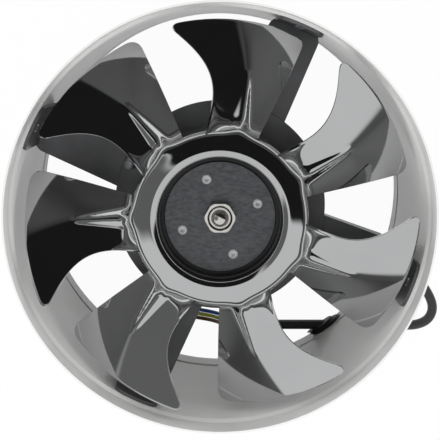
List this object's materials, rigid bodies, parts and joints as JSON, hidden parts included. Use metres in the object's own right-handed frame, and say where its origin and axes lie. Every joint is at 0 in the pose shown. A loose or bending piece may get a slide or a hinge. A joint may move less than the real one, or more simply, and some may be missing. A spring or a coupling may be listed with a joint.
{
  "type": "axial duct fan",
  "caption": "Round inline duct fan: pressed axial impeller on an external-rotor motor, held by a plate and bent arms in a sheet duct section with a socket end, a bead and a supply lead.",
  "frame": {"origin": "centre of the duct's rear rim, where it stands", "axes": "+Z along the fan axis towards the inlet, where the hub's cap nut faces; +X to the right and +Y up as the inlet is seen in the picture"},
  "size_m": [0.285, 0.3028, 0.16],
  "materials": {
    "casing_paint": "satin light grey powder coat on rolled sheet",
    "carrier_steel": "satin dark grey coat on pressed sheet",
    "zinc_fastener": "zinc plated",
    "cast_housing": "die cast",
    "bearing_steel": "ground",
    "lamination": "stacked laminations",
    "winding_copper": "enamelled copper",
    "black_cup": "satin black",
    "brushed_hub": "brushed dark zinc",
    "rivet_steel": "plated",
    "nut_plating": "nickel plated",
    "impeller_chrome": "mirror polished",
    "black_rubber": "matt moulded rubber",
    "core_blue": "extruded insulation",
    "core_brown": "extruded insulation",
    "core_earth": "striped insulation",
    "black_sheath": "extruded sheath",
    "tie_plastic": "moulded tie",
    "ferrule_tin": "tinned"
  },
  "bodies": {
    "casing": {"duct_casing": "casing_paint", "mounting_plate": "carrier_steel", "support_arm_1": "carrier_steel", "support_arm_2": "carrier_steel", "support_arm_3": "carrier_steel", "support_arm_4": "carrier_steel", "arm_screws": "zinc_fastener", "arm_nuts": "zinc_fastener", "foot_rivets": "zinc_fastener", "motor_screws": "zinc_fastener", "stator_housing": "cast_housing", "rear_bearing": "bearing_steel", "front_bearing": "bearing_steel", "stator_core": "lamination", "stator_windings": "winding_copper", "wire_outlet_bush": "black_rubber", "neutral_core": "core_blue", "live_core": "core_brown", "earth_core": "core_earth", "sheath_sleeve": "black_sheath", "lead_inside": "black_sheath", "cable_grommet": "black_rubber", "mains_lead": "black_sheath", "lead_hank": "black_sheath", "lead_tie": "tie_plastic", "lead_tail": "black_sheath", "brown_tail": "core_brown", "earth_tail": "core_earth", "blue_tail": "core_blue", "ferrules": "ferrule_tin"},
    "rotor": {"impeller": "impeller_chrome", "hub_plate": "brushed_hub", "hub_rivets": "rivet_steel", "rotor_cup": "black_cup", "rotor_cage": "lamination", "motor_shaft": "bearing_steel", "shaft_circlip": "black_cup", "spring_washer": "nut_plating", "cap_nut": "nut_plating"}
  },
  "joints": [
    {"name": "impeller_spin", "type": "hinge", "parent": "casing", "child": "rotor", "pos_m": [0, 0, 0.1], "axis": [0, 0, 1], "continuous": true}
  ]
}
